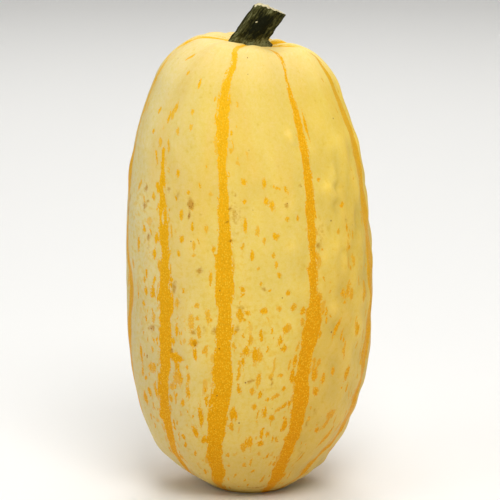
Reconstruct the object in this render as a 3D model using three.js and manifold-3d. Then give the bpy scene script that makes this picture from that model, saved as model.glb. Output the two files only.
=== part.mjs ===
// Spaghetti squash: one whole fruit, standing on the small flat spot at its blossom end, with the
// stub of the stem that it hung from. Millimetres, +Z up, origin at the centre of the flat spot,
// front towards -Y.

import * as THREE from 'three';
import { mergeVertices } from 'three/addons/utils/BufferGeometryUtils.js';
import Module from 'manifold-3d';

// Driving dimensions of the fruit

const FRUIT_HEIGHT = 237.8; // flat spot to the crest around the stem
const BELLY_RADIUS = 65; // at the widest place, a little below half height
const CROWN_TILT = 6.1; // degrees: the crown slopes down to the right
const CROWN_FROM = 0.63; // share of the height where that tilt begins

// Outline on the right of the axis, from the rim of the flat spot up to the middle of the hollow
// under the stem: [share of BELLY_RADIUS, share of FRUIT_HEIGHT]
const OUTLINE = [
  [0.308, 0],
  [0.415, 0.017],
  [0.615, 0.059],
  [0.831, 0.143],
  [0.966, 0.278],
  [1, 0.454],
  [0.98, 0.631],
  [0.898, 0.782],
  [0.76, 0.891],
  [0.64, 0.953],
  [0.469, 0.992],
  [0.308, 1],
  [0.169, 0.997],
  [0, 0.995],
];

// How far the axis wanders to the right: [share of FRUIT_HEIGHT, millimetres]
const SWAY = [[0, 0], [0.1, -2.5], [0.32, -0.7], [0.55, -1], [0.74, -2.4], [0.9, -1.5], [1, 1]];

// The ten shallow grooves, by where each one runs: [share of FRUIT_HEIGHT, degrees], with 0 in
// front and + to the right. They go once round the fruit, starting at the left.
const GROOVES = [
  [[0, -92], [0.25, -83], [0.45, -79], [0.6, -82], [0.72, -87], [0.88, -92], [1, -96]],
  [[0, -66], [0.08, -52], [0.16, -47], [0.4, -42], [0.6, -42], [0.98, -52]],
  [[0, -38], [0.08, -20], [0.2, -16], [0.3, -12.3], [0.7, -10.7], [0.88, -14.5], [0.97, -14.5], [1, -19]],
  [[0, 20], [0.15, 26], [0.29, 25.5], [0.44, 30.4], [0.78, 31.2], [0.88, 29.2], [0.96, 27], [1, 27]],
  [[0, 40], [0.05, 51], [0.15, 74], [0.32, 73], [0.46, 79], [0.65, 76], [0.9, 82], [0.97, 81], [0.99, 92], [1, 124]],
  [[0, 92], [0.2, 108], [0.63, 112], [0.95, 124], [1, 140]],
  [[0, 134], [0.3, 142], [0.75, 147], [1, 156]],
  [[0, 176], [0.46, 178], [1, 186]],
  [[0, 220], [0.38, 212], [1, 216]],
  [[0, 240], [0.34, 243], [0.7, 246], [1, 244]],
];
const GROOVE_DEPTH = [ // [share of FRUIT_HEIGHT, millimetres]
  [0, 0],
  [0.03, 0.3],
  [0.09, 1.3],
  [0.26, 0.9],
  [0.55, 0.9],
  [0.8, 1.3],
  [0.95, 1.8],
  [1, 1.2],
];
const GROOVE_SHARPNESS = 3.2; // power of the cosine across a rib: higher is a narrower groove

// Driving dimensions of the stem

const STEM_ROOT = [-4.3, 232.5]; // [x, z] of the root of its centre line, inside the fruit
const STEM_TOP = [10.3, 254.2]; // [x, z] of the middle of its cut end
const STEM_RADIUS = 8.1; // square to its centre line
const STEM_FLATNESS = 0.93; // front-to-back size as a share of side-to-side size
const STEM_RIDGES = 6;
const RIDGE_HEIGHT = [[0, 0.12], [0.35, 0.06], [1, 0.045]]; // [share along the stem, share of the radius]
const RIDGE_START = 62; // degrees to the left of the front, at the root
const RIDGE_DRIFT = 12; // degrees that the ridges wind to the right on their way up
const CUT_TILT = 22; // degrees that the cut end faces to the right
const CUT_PITCH = 3.4; // degrees that it faces to the back
const FOOT_FLARE = [ // [degrees round the stem, millimetres that its foot stands out]
  [-180, 1],
  [-130, 1],
  [-95, 0.4],
  [-70, 0.8],
  [-42, -0.8],
  [-15, 0.6],
  [15, 1.6],
  [40, 0.6],
  [65, 2.2],
  [90, 3.4],
  [130, 2.6],
  [180, 1],
];
const FOOT_RISE = [[0, 1], [0.12, 1], [0.32, 0]]; // [share along the stem, share of the flare]
const STEM_GAP = 0.3; // left open between the stem's foot and the rind

// Fineness of the solids

const RIB_COLUMNS = 8;
const FRUIT_RINGS = 42;
const STEM_COLUMNS = 48;
const STEM_RINGS = 12;

// The value at `place` of a smooth line through [place, value] stops
function through(stops, place) {
  const last = stops.length - 1;
  if (place >= stops[last][0]) return stops[last][1];
  const next = Math.max(1, stops.findIndex(([stop]) => stop > place));
  const [from, start] = stops[next - 1];
  const [to, end] = stops[next];
  return THREE.MathUtils.lerp(start, end, THREE.MathUtils.smoothstep(place, from, to));
}

// A lathed body about Z, whose vertices are then moved one by one by place(vertex, facing, column),
// where facing is the surface's outward normal before the move
function lathed(profile, columns, place) {
  const geometry = new THREE.LatheGeometry(profile, columns);
  geometry.rotateX(Math.PI / 2);
  const { position, normal } = geometry.attributes;
  const vertex = new THREE.Vector3();
  const facing = new THREE.Vector3();
  for (let index = 0; index < position.count; index++) {
    vertex.fromBufferAttribute(position, index);
    facing.fromBufferAttribute(normal, index);
    const column = Math.floor(index / profile.length) % columns;
    place(vertex, facing, column);
    position.setXYZ(index, vertex.x, vertex.y, vertex.z);
  }
  return closed(geometry);
}

function closed(geometry) {
  geometry.deleteAttribute('normal');
  geometry.deleteAttribute('uv');
  return mergeVertices(geometry);
}

function fruitGeometry() {
  const rim = OUTLINE.map(([out, up]) => new THREE.Vector2(out * BELLY_RADIUS, up * FRUIT_HEIGHT));
  const outline = new THREE.SplineCurve(rim).getSpacedPoints(FRUIT_RINGS);
  outline[outline.length - 1].x = 0;
  const profile = [new THREE.Vector2(0, 0), ...outline];
  const hollowRadius = rim[0].x;
  const tilt = Math.tan(THREE.MathUtils.degToRad(CROWN_TILT));
  const turned = new THREE.Vector3();
  const up = new THREE.Vector3(0, 0, 1);

  return lathed(profile, GROOVES.length * RIB_COLUMNS, (vertex, facing, column) => {
    const share = vertex.z / FRUIT_HEIGHT;
    const radius = Math.hypot(vertex.x, vertex.y);
    const slope = Math.hypot(facing.x, facing.y);

    // Turn the column to its place between the two grooves that bound its rib
    const rib = Math.floor(column / RIB_COLUMNS);
    const across = (column % RIB_COLUMNS) / RIB_COLUMNS;
    const left = through(GROOVES[rib], share);
    const lap = rib + 1 === GROOVES.length ? 360 : 0;
    const right = through(GROOVES[(rib + 1) % GROOVES.length], share) + lap;
    const azimuth = THREE.MathUtils.degToRad(THREE.MathUtils.lerp(left, right, across));
    turned.set(Math.sin(azimuth), -Math.cos(azimuth), 0);
    vertex.set(turned.x * radius, turned.y * radius, vertex.z);

    // Press the grooves in along the surface's own normal
    const valley = Math.pow(Math.abs(Math.cos(Math.PI * across)), GROOVE_SHARPNESS);
    const fade = THREE.MathUtils.smoothstep(radius, 0, hollowRadius);
    const depth = through(GROOVE_DEPTH, share) * valley * fade;
    vertex.addScaledVector(turned, -depth * slope).addScaledVector(up, -depth * facing.z);

    // Bend the axis, and tilt the crown
    vertex.x += through(SWAY, share);
    vertex.z -= vertex.x * tilt * THREE.MathUtils.smoothstep(share, CROWN_FROM, 1);
  });
}

function stemGeometry() {
  const profile = [new THREE.Vector2(0, 0)];
  for (let ring = 0; ring <= STEM_RINGS; ring++) {
    profile.push(new THREE.Vector2(1, ring / STEM_RINGS));
  }
  profile.push(new THREE.Vector2(0, 1));
  const [rootX, rootZ] = STEM_ROOT;
  const [topX, topZ] = STEM_TOP;
  const slant = Math.atan2(topX - rootX, topZ - rootZ);
  const pitch = Math.tan(THREE.MathUtils.degToRad(CUT_PITCH));

  return lathed(profile, STEM_COLUMNS, (vertex, facing, column) => {
    const along = vertex.z;
    const degrees = 360 * column / STEM_COLUMNS;
    const winding = THREE.MathUtils.degToRad(degrees + RIDGE_START - RIDGE_DRIFT * along);
    const swell = 1 + Math.cos(STEM_RIDGES * winding) * through(RIDGE_HEIGHT, along);
    const flare = through(FOOT_FLARE, degrees > 180 ? degrees - 360 : degrees) * through(FOOT_RISE, along);
    const outward = STEM_RADIUS * swell + flare;

    // The lower rings lie level, and those near the cut are tilted with it
    const lean = THREE.MathUtils.degToRad(CUT_TILT * along);
    const side = vertex.x * outward / Math.cos(slant - lean);
    const depth = vertex.y * outward * STEM_FLATNESS;
    const lift = -depth * pitch * along * along;
    vertex.set(
      THREE.MathUtils.lerp(rootX, topX, along) + side * Math.cos(lean) + lift * Math.sin(lean),
      depth,
      THREE.MathUtils.lerp(rootZ, topZ, along) - side * Math.sin(lean) + lift * Math.cos(lean),
    );
  });
}

// Booleans: a closed geometry as a solid, and a solid as a geometry

const wasm = await Module();
wasm.setup();

function solidOf(geometry) {
  return new wasm.Manifold(new wasm.Mesh({
    numProp: 3,
    vertProperties: new Float32Array(geometry.attributes.position.array),
    triVerts: new Uint32Array(geometry.index.array),
  }));
}

function geometryOf(solid) {
  const mesh = solid.getMesh();
  const geometry = new THREE.BufferGeometry();
  geometry.setAttribute('position', new THREE.BufferAttribute(mesh.vertProperties, 3));
  geometry.setIndex(new THREE.BufferAttribute(mesh.triVerts, 1));
  return geometry;
}

function piece(name, geometry, finish) {
  const mesh = new THREE.Mesh(geometry, new THREE.MeshStandardMaterial(finish));
  mesh.name = name;
  return mesh;
}

const fruit = fruitGeometry();

// The stem's foot follows the rind under it, ribs and all
const rindUnderFoot = solidOf(fruit.clone().translate(0, 0, STEM_GAP));
const stem = geometryOf(solidOf(stemGeometry()).subtract(rindUnderFoot));

const group = new THREE.Group();
group.add(
  piece('fruit', fruit, { color: 0xe6cb72, roughness: 0.45, metalness: 0 }),
  piece('stem', stem, { color: 0x3a3a20, roughness: 0.8, metalness: 0 }),
);

export default group;
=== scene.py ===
"""Spaghetti squash: the looks of its rind and its stem, on a plain pale floor. Metres, +Z up."""

import math
from functools import partial
from types import SimpleNamespace

import bmesh
import bpy
import numpy as np
from bpy.props import FloatProperty, FloatVectorProperty, PointerProperty
from bpy.types import Operator, Panel, PropertyGroup
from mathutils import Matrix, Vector, noise


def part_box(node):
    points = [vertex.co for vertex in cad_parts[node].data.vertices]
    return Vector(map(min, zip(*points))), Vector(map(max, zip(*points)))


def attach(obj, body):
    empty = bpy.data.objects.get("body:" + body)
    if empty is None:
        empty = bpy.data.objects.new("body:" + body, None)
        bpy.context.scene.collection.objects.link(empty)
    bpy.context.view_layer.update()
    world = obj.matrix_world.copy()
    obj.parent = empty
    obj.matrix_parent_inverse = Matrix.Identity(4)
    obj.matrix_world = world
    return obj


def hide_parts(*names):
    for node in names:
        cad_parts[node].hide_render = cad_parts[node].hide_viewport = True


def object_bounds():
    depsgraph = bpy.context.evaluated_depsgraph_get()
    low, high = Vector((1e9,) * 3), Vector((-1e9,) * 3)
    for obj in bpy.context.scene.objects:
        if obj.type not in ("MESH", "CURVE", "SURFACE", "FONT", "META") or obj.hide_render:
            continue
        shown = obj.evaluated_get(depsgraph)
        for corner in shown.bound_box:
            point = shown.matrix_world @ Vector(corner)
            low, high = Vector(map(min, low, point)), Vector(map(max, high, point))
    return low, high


bl_info = {
    "name": "Spaghetti Squash",
    "version": (1, 0, 0),
    "blender": (4, 5, 0),
    "location": "View3D > Sidebar > Squash",
    "description": "Grows a striped spaghetti squash with its cut stem, and sets it on a studio floor",
    "category": "Add Mesh",
}

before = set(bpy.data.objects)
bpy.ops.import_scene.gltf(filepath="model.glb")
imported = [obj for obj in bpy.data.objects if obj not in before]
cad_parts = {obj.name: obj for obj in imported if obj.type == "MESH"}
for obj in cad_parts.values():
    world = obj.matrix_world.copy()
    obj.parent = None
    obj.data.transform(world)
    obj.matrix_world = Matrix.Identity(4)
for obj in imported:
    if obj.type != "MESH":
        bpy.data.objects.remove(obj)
CAD_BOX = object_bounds()
FRUIT_LOW, FRUIT_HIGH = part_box("fruit")

MM = 0.001
# The outline's height as a share of the solid's, whose tilted crown stands higher on one side
CREST_SHARE = 0.9915
# The outline's radius as a share of half the solid's depth, which the grooves make less
BELLY_SHARE = 1.0069
MERGE_WITHIN = 1e-7  # metres

# The fruit's form. Its solid was made from the same values, down to CROWN_FROM.

# Outline beside the axis, from the rim of the flat spot to the middle of the hollow under the stem:
# (share of the belly's radius, share of the height)
OUTLINE = (
    (0.308, 0),
    (0.415, 0.017),
    (0.615, 0.059),
    (0.831, 0.143),
    (0.966, 0.278),
    (1, 0.454),
    (0.98, 0.631),
    (0.898, 0.782),
    (0.76, 0.891),
    (0.64, 0.953),
    (0.469, 0.992),
    (0.308, 1),
    (0.169, 0.997),
    (0, 0.995),
)
# How far the axis wanders to the right: (share of the height, mm)
SWAY = ((0, 0), (0.1, -2.5), (0.32, -0.7), (0.55, -1), (0.74, -2.4), (0.9, -1.5), (1, 1))
# Where each groove runs: (share of the height, degrees from the front, + to the right)
GROOVES = (
    ((0, -92), (0.25, -83), (0.45, -79), (0.6, -82), (0.72, -87), (0.88, -92), (1, -96)),
    ((0, -66), (0.08, -52), (0.16, -47), (0.4, -42), (0.6, -42), (0.98, -52)),
    (
        (0, -38), (0.08, -20), (0.2, -16), (0.3, -12.3), (0.7, -10.7), (0.88, -14.5), (0.97, -14.5),
        (1, -19),
    ),
    ((0, 20), (0.15, 26), (0.29, 25.5), (0.44, 30.4), (0.78, 31.2), (0.88, 29.2), (0.96, 27), (1, 27)),
    (
        (0, 40), (0.05, 51), (0.15, 74), (0.32, 73), (0.46, 79), (0.65, 76), (0.9, 82), (0.97, 81),
        (0.99, 92), (1, 124),
    ),
    ((0, 92), (0.2, 108), (0.63, 112), (0.95, 124), (1, 140)),
    ((0, 134), (0.3, 142), (0.75, 147), (1, 156)),
    ((0, 176), (0.46, 178), (1, 186)),
    ((0, 220), (0.38, 212), (1, 216)),
    ((0, 240), (0.34, 243), (0.7, 246), (1, 244)),
)
# (share of the height, mm)
GROOVE_DEPTH = (
    (0, 0), (0.03, 0.3), (0.09, 1.3), (0.26, 0.9), (0.55, 0.9), (0.8, 1.3), (0.95, 1.8), (1, 1.2),
)
GROOVE_SHARPNESS = 3.2  # power of the cosine across a rib: higher is a narrower groove
CROWN_FROM = 0.63  # share of the height where the crown's tilt begins

# Half the width of the stripe in each groove, in the same order: (share of the height, mm). There is
# no stripe where it is less than 0.
STRIPES = (
    ((0, 1.5), (0.1, 3), (0.4, 4), (0.62, 4), (0.72, 5), (0.8, 6), (0.93, 6.5), (0.97, 3), (1, 1.2)),
    (
        (0, 1.5), (0.08, 2.6), (0.2, 3.8), (0.27, 3.4), (0.38, 4.6), (0.42, 4), (0.455, 5.6),
        (0.5, 3.2), (0.58, 2.8), (0.63, 2.9), (0.67, 2.8), (0.69, 1.9), (0.72, 1.9), (0.775, 1.1),
        (0.81, -3),
    ),
    (
        (0, 2), (0.08, 3.6), (0.2, 4.9), (0.34, 5.3), (0.37, 4), (0.46, 3.9), (0.49, 4.9),
        (0.56, 4.9), (0.6, 3.7), (0.66, 3.2), (0.72, 2.5), (0.8, 2.6), (0.88, 3), (0.96, 2),
        (1, 1.4),
    ),
    (
        (0, 1.8), (0.08, 3.2), (0.2, 4.3), (0.34, 4.2), (0.4, 5.2), (0.45, 4.8), (0.5, 3),
        (0.54, 2.7), (0.57, 1.5), (0.62, 1.9), (0.67, 2.9), (0.75, 2.6), (0.8, 2), (0.86, 2.1),
        (0.89, 1.6), (0.92, 0.7), (0.97, 0.4), (1, 0.8),
    ),
    (
        (0, 1.5), (0.1, 3.4), (0.25, 4.6), (0.4, 5.2), (0.7, 5), (0.78, 4.8), (0.88, 5.2),
        (0.94, 4.6), (0.98, 3.2), (1, 1.6),
    ),
    ((0, 1.5), (0.15, 3.6), (0.5, 3), (0.8, 2.4), (1, 2.4)),
    ((0, 1.8), (0.2, 4.4), (0.45, 3.4), (0.7, 1.6), (0.85, 0.4), (1, 0.8)),
    ((0, 2), (0.12, 3.2), (0.3, 4.8), (0.6, 3.4), (0.85, 2.6), (1, 1.6)),
    ((0, 1.5), (0.2, 3.8), (0.5, 2.6), (0.66, 1), (0.82, 1.8), (1, 0.8)),
    ((0, 1.8), (0.15, 3.4), (0.4, 4.2), (0.7, 2.6), (0.9, 1.4), (1, 1)),
)
# How far the middle of a stripe strays to the right of its groove, by the groove's number: (share of
# the height, mm)
STRAY = {
    0: (
        (0, 0), (0.32, 0), (0.42, -3), (0.5, -3), (0.6, 0), (0.72, 4.5), (0.88, 7), (0.95, 5),
        (0.98, 0), (1, -1),
    ),
    1: ((0, 0), (0.57, 0), (0.63, -1.2), (0.7, -1.2), (0.76, 0), (1, 0)),
    4: ((0, 0), (0.72, 0), (0.8, -2), (0.88, -3), (0.94, -3), (1, -0.5)),
}
# Slits where a stripe parts into two strands: (degrees from the front, height, half its width, half
# its height), in mm
SLITS = (
    (-44.2, 152.5, 0.9, 7.5), (-46, 106, 1.2, 4), (28, 113, 1.1, 4),
)
SLIT_DEPTH = 4  # mm that a slit takes off the stripe at its middle
NO_STRAY = ((0, 0), (1, 0))
SEAM = 7  # the groove whose stripe hides the seam of the rind's map

# Bumps and dents that the fruit grew with: (degrees from the front, height, reach, lift), in mm
LUMPS = (
    (-95, 222, 12, 0.5), (-88, 170, 8, 1.6), (-88, 110, 12, -2.3), (-88, 126, 8, 0.2),
    (-88, 36, 7, 0.8), (-80, 20, 7, 1.2), (-147, 238, 8, -1.4), (-52, 214, 9, 0.7),
    (-49, 196, 8, 0.5), (112, 235, 11, -2.1), (140, 235, 8, -0.8), (95, 205, 20, 0.35),
    (83, 214, 8, 0.7), (94, 213, 5, 1.2), (104, 213, 5, 1.5), (90, 170, 8, 0.8), (90, 187, 6, 0.4),
    (90, 150, 17, -0.9), (90, 126, 5, -0.8), (90, 87, 8, -1.2), (90, 98, 9, -0.25),
    (90, 62, 7, -0.5), (90, 44, 5, -0.7), (90, 30, 8, 0.7), (88, 12, 7, 1.6), (0, 104, 34, -0.45),
    (180, 104, 34, -0.55), (42, 169, 2.6, 1.3), (46, 165, 3, 1), (47, 176, 2.6, 0.7),
    (48, 168, 2, -1.9), (48, 159, 2.6, -1.3), (36, 170, 4, 0.5), (50, 131, 2.6, 1.7),
    (50, 126, 2.6, 1), (41, 106, 3, 1.3), (46, 115, 3.4, -0.7), (43, 96, 3, -0.8),
    (56, 117, 3.4, 1), (31, 132, 3, 0.6), (37, 134, 3, 0.8), (44, 137, 3, 0.8), (52, 139, 3, 0.7),
    (35, 139, 2.6, -1), (41, 149, 4, -0.7), (62, 150, 3, -1), (23, 197, 2.4, 0.9),
    (25, 194, 2.4, 1), (19, 141, 3, 0.7), (18, 160, 5, 0.5), (62, 92, 5, 1), (40, 88, 4, 0.7),
    (66, 78, 6, -0.7), (52, 76, 4, 0.8), (-60, 205, 14, -0.5), (-66, 150, 8, 0.4),
    (-30, 150, 12, 0.3), (8, 70, 14, -0.3), (-30, 60, 12, 0.4), (120, 150, 9, 0.8),
    (150, 90, 12, -0.7), (170, 180, 8, 0.7), (200, 120, 10, 0.7), (228, 165, 9, -0.7),
    (235, 70, 9, 0.7),
)
LUMP_STRETCH = 1.4  # how much taller than wide a lump is
# Small lumps also get painted light on their tops and painted shade in their dents, in the rind's colour
LEAST_BROAD = 5  # mm of reach: a lump with no more than this also shades the rind's colour
# Bruises on the rind: (degrees from the front, height, reach across, reach along), in mm, and strength
BRUISES = (
    (-40, 168, 1.8, 1.8, 0.7), (-35, 165, 1.2, 1.9, 0.7), (-57, 166, 1.5, 2.2, 0.8),
    (-57, 157, 1.6, 2.2, 0.9), (-54, 160, 1.2, 1.2, 0.6), (-52, 142, 1.4, 2.2, 1),
    (-53, 136, 1.6, 1.3, 0.7), (-27, 162, 2, 2.8, 1), (-21, 157, 1.4, 1, 0.5),
    (-23, 129, 1.8, 1.9, 0.9), (-36, 118, 1.8, 4.2, 0.7), (-33, 112, 1.3, 2, 0.6),
    (-51, 95, 3, 1.8, 0.9), (-56, 79, 1.2, 1.4, 0.8), (-38, 85, 1.4, 2.2, 0.8),
    (-26, 97, 1.9, 1.6, 0.7), (-25, 90, 1.6, 1.6, 0.9), (-21, 98, 1.2, 2.4, 0.5),
    (-16, 98, 1.8, 3, 0.6), (-5, 158, 2.6, 6, 0.55), (-5, 168, 1.6, 1.6, 0.45),
    (-6, 148, 1.6, 2.6, 0.5), (-5, 99, 2.4, 1.6, 0.6), (-4, 110, 2.6, 3, 0.45),
    (19, 163, 1.9, 1.7, 0.65), (27, 171, 1.2, 1.2, 0.6), (16, 182, 1.6, 1.6, 0.4),
    (0, 72, 2.2, 1, 1), (10, 73, 1, 1, 0.7), (11, 70, 0.9, 1.6, 0.7), (52, 152, 1.6, 2.4, 0.55),
    (36, 52, 2, 2.4, 0.5), (32, 44, 1.4, 4, 0.6), (35, 27, 2, 6, 0.5), (6, 6, 6, 1.6, 0.6),
    (36, 147, 2.4, 7, 0.4), (34, 140, 1.4, 1.8, 0.75), (-8.5, 161, 0.9, 0.8, 0.9),
    (-9, 154.5, 0.9, 0.7, 0.9), (-8.6, 145, 1, 0.9, 0.9), (7, 120, 1.7, 1.5, 0.75),
    (-80, 152, 4, 6, 0.75), (-74, 158, 1.2, 3, 0.6), (-28, 156, 0.7, 1.6, 1.5),
    (120, 70, 2.2, 3, 0.8), (160, 140, 2.4, 2.2, 0.8), (190, 60, 2, 4, 0.7),
    (232, 120, 2.2, 3, 0.8),
)
# Where flecks crowd or are few: (degrees from the front, height, reach across, reach along), in mm,
# and how much
CROWDS = (
    (-60, 150, 14, 30, 0.6), (-56, 108, 10, 16, 0.7), (-28, 98, 13, 16, 0.7), (-36, 72, 8, 16, 1),
    (-58, 62, 14, 22, 0.9), (-30, 42, 14, 22, 0.8), (-54, 181, 5, 7, -0.8), (-12, 124, 7, 22, 0.3),
    (-2, 150, 6, 24, 0.5), (4, 92, 13, 20, 0.9), (10, 45, 16, 22, 0.7), (36, 105, 6, 14, 0.6),
    (36, 70, 8, 12, 0.3), (58, 80, 10, 16, -0.3), (55, 40, 18, 16, 0.7), (110, 90, 20, 40, 0.5),
    (160, 70, 24, 36, 0.7), (200, 110, 20, 50, 0.4), (240, 80, 24, 36, 0.8),
)
# The largest and plainest flecks: (degrees from the front, height, half its width, half its height),
# in mm, and how many mm its top leans to the right for each mm up
MARKS = (
    (-24, 111, 1.4, 1.7, 0), (-27, 101, 1.6, 5.5, 0), (-24, 104, 1.1, 1.4, 0),
    (-19, 105, 1.4, 4.2, 0), (-35, 97, 1.2, 4, 0), (-26, 91, 2.4, 2.2, 0),
    (-25, 85, 1.1, 3.5, -0.1), (-20, 88, 1.3, 2.6, 0.4), (-53, 73, 3.5, 3, 0),
    (-47, 68, 2.2, 3.4, -0.2), (-34, 81, 2.6, 1.9, 0), (-36, 77, 1.5, 2.4, 0.2),
    (-30, 78, 1.1, 1.6, -0.2), (-36, 71, 3, 4.2, 0), (-29, 72, 1.1, 3, 0), (-30, 64, 1.1, 4.8, 0),
    (-62, 54, 2.4, 3.6, 0), (-51, 61, 1.2, 4.4, -0.1), (-50, 47, 1.3, 4.6, -0.3),
    (-24, 51, 1.4, 7, 0), (-28, 42, 1.5, 3.8, -0.2), (-33, 58, 1.1, 2.2, 0), (-2, 88, 1.8, 3, 0),
    (3, 86, 1.9, 4, 0), (1, 94, 1.4, 3, 0), (-3, 82, 1.1, 2.6, -0.2), (-5, 67, 1.1, 2.8, -0.2),
    (1, 66, 1.6, 2.2, 0), (-39, 65, 1.8, 2.4, 0), (-61, 79, 1.4, 6, 0), (4, 72, 1.3, 4.4, 0.1),
    (14, 93, 1.5, 3, 0.2), (18, 99, 2.2, 2.6, 0.3), (16, 89, 1.8, 1.8, 0), (13, 110, 1.3, 2, 0),
    (21, 110, 1.5, 2, 0.3), (7, 109, 2, 1.7, 0), (-1, 108, 1.6, 1.6, -0.4), (15, 75, 1.5, 1.3, 0),
    (16, 67, 1.2, 1.5, 0), (13, 63, 1.8, 1.9, 0.7), (12, 51, 1.6, 2, 0), (15, 56, 1.6, 1.8, 0.9),
    (17, 58, 1.3, 2.2, 0.8), (3, 58, 1.3, 1.8, 0), (8, 55, 1.3, 4, 0), (-7, 53, 2.4, 4, 0),
    (2, 38, 1.8, 4, 0), (7, 37, 1.7, 2, 0), (10, 42, 1.2, 1.8, 0), (20, 72, 1.8, 2.6, 0),
    (22, 81, 1.4, 3.6, 0), (32, 73, 1.8, 3.4, 0), (33, 64, 1.6, 2.6, -0.2), (34, 80, 1.3, 2.4, 0),
    (37, 70, 1.2, 4, 0.2), (43, 73, 1.6, 2.4, 0), (53, 70, 1.9, 4.4, 0.1), (47, 49, 3, 3, 0.2),
    (45, 43, 1.5, 4.5, 0.5), (50, 35, 1.7, 6, 0.6), (58, 94, 1.6, 4.8, 0), (44, 96, 1.3, 5, 0.5),
    (34, 102, 2, 3.5, 0), (41, 41, 1.4, 2, 0), (-35, 177, 1.1, 2.4, 0), (-62, 167, 1.2, 3.4, 0.4),
    (-51, 163, 1.2, 2.3, 0), (-28, 168, 1.1, 1.6, 0), (-32, 156, 1.4, 2.6, 0),
    (-32, 144, 1.6, 2.2, 0), (-19, 151, 1.1, 2.8, -0.2), (-25, 141, 1, 2.8, 0),
    (-25, 136, 1.3, 1.2, 0.5), (-34, 136, 1.1, 2.4, -0.3), (-47, 142, 1.2, 3.2, 0),
    (-49, 134, 1.3, 3.2, 0), (-61, 136, 1.4, 5.2, 0), (-54, 123, 1.1, 2.6, 0),
    (-48, 120, 1.1, 2.4, 0), (-49, 114, 1.7, 3.8, 0), (-55, 114, 1.4, 2.4, 0), (-17, 125, 1, 4, 0),
    (-16, 140, 1.1, 2.4, 0), (-38, 122, 1.3, 1.8, 0), (-1, 174, 1.4, 2.2, -0.3),
    (-1, 165, 1.1, 1.5, 0), (-1, 153, 1, 4, 0), (-3, 120, 1.4, 2, -0.5), (2, 137, 1, 3, 0),
    (8, 174, 1, 3.2, 0), (14, 171, 1.3, 1.3, -0.8), (18, 170, 1, 2.3, -0.4),
    (12, 163, 1.4, 3, -0.2), (9, 165, 1, 2.6, 0), (19, 155, 1.2, 1.4, 0), (24, 155, 1, 1.5, 0),
    (4, 150, 1.1, 3.2, 0), (13, 147, 1.7, 2.2, 0), (7, 145, 1, 2.3, 0), (11, 137, 1, 1.7, 0),
    (13, 133, 1, 1.8, 0), (4, 131, 1.1, 1.2, 0), (14, 127, 1.1, 1.9, 0), (18, 117, 1.3, 1.4, 0),
    (34, 114, 1.8, 3, 0), (38, 173, 1.1, 1.3, 0), (50, 159, 1.3, 1.8, 0.4), (52, 147, 1, 2.5, -0.2),
    (46, 146, 1.1, 1.5, 0.2), (57, 142, 1.1, 2.8, 0), (52, 136, 1.4, 1.3, 0),
    (-57, 232, 0.8, 3, 0.4), (-45, 225, 1, 1.6, 0), (-32, 221, 0.7, 2.5, 0),
    (-45, 207, 1.4, 4.6, 0.1), (-48, 203, 0.9, 4, 0.1), (-32, 207, 0.9, 1.5, 0),
    (-31, 200, 1, 2, 0), (-39, 197, 1.2, 2.2, -0.3), (-58, 205, 0.9, 2.2, 0), (-58, 195, 1, 1.8, 0),
    (34.3, 200, 0.75, 9, 0), (5, 123, 0.9, 1.2, 0), (9, 119.5, 0.8, 1, 0), (52, 115, 1.4, 4.6, 0.2),
    (48, 114, 1.4, 3, 0.2), (65, 109, 1.8, 3.6, 0.2),
)
CLEARING = (2, 3)  # mm beside and above a placed fleck that the others tend to leave free
CLEARED = 0.5  # how much they are thinned there
# Random flecks of four kinds: (cell's width, cell's length, in mm, share of the cells with one, least
# and most of its reach as a share of the cell)
FLECKS = (
    (4.5, 9, 0.6, 0.1, 0.26),
    (4.5, 18, 0.6, 0.12, 0.26),
    (8, 13, 0.6, 0.1, 0.24),
    (10, 22, 0.5, 0.1, 0.22),
)
# How much they crowd: (share of the height, how much)
FLECKING = ((0, 0.35), (0.3, 0.45), (0.55, 0.15), (0.75, -0.1), (1, -0.6))
# The dimple in the middle of the flat spot, where the flower dropped off, in mm
SCAR_REACH = 5.5
SCAR_DEPTH = 0.5
# The rind's own unevenness: the size of its lumps in metres, and how far they stand out in mm
BROAD_SIZE, BROAD_LIFT = 0.045, 1.1
SMALL_SIZE, SMALL_LIFT = 0.014, 0.7
DRAWN_SIZE, DRAWN_LIFT = 0.007, 0.55
DRAWN_SQUEEZE = 0.6  # of the height that this noise is read at, so its lumps come out tall
LEAST_BUMPY = 0.5  # how much of the small lumps is left on the side that lay in shade
CALM_FROM, CALM_OVER = 0.78, 0.12  # shares of the height over which they fade under the crown
CALMED = 0.75  # and how much of them goes
EVEN_BELOW = 0.06  # share of the height under which the rind evens out towards the flat spot

RIB_COLUMNS = 30
FRUIT_RINGS = 309
FLAT_RINGS = 20  # more of them, on the flat spot
OUTLINE_STEPS = 40  # points worked out between two of the outline's own

# The stem's form

STEM_ROOT = (-4.3, 232.5)  # x and z of the root of its centre line, inside the fruit, in mm
STEM_TOP = (10.3, 254.2)  # x and z of the middle of its cut end
STEM_RADIUS = 8.1  # mm, square to its centre line
STEM_FLATNESS = 0.93  # front-to-back size as a share of side-to-side size
STEM_RIDGES = 6
STEM_LENGTH = 22  # mm along its skin, for the grain
RIDGE_HEIGHT = ((0, 0.12), (0.35, 0.06), (1, 0.045))  # (share along the stem, share of the radius)
RIDGE_START = 62  # degrees to the left of the front, at the root
RIDGE_DRIFT = 12  # degrees that the ridges wind to the right on their way up
RIDGE_SPREAD, RIDGE_SPREAD_AT = 0.5, 0.6  # radians by which they crowd on one side, and where
RIDGE_BREADTH = 1.8  # power: higher is a broader ridge and a narrower valley
FIBRE_SIZE, FIBRE_LIFT = 0.9, 0.04  # mm, and share of the radius
FIBRE_DRAW = 3  # mm of noise along the whole stem, so the fibres are drawn long
KNOT_SIZE, KNOT_LIFT, KNOT_LIFT_AT_ROOT = 2.4, 0.04, 0.1  # mm, and shares of the radius
TUFT_SIZE, TUFT_LIFT = 1.3, 0.7  # mm: the torn fibres of the cut
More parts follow.
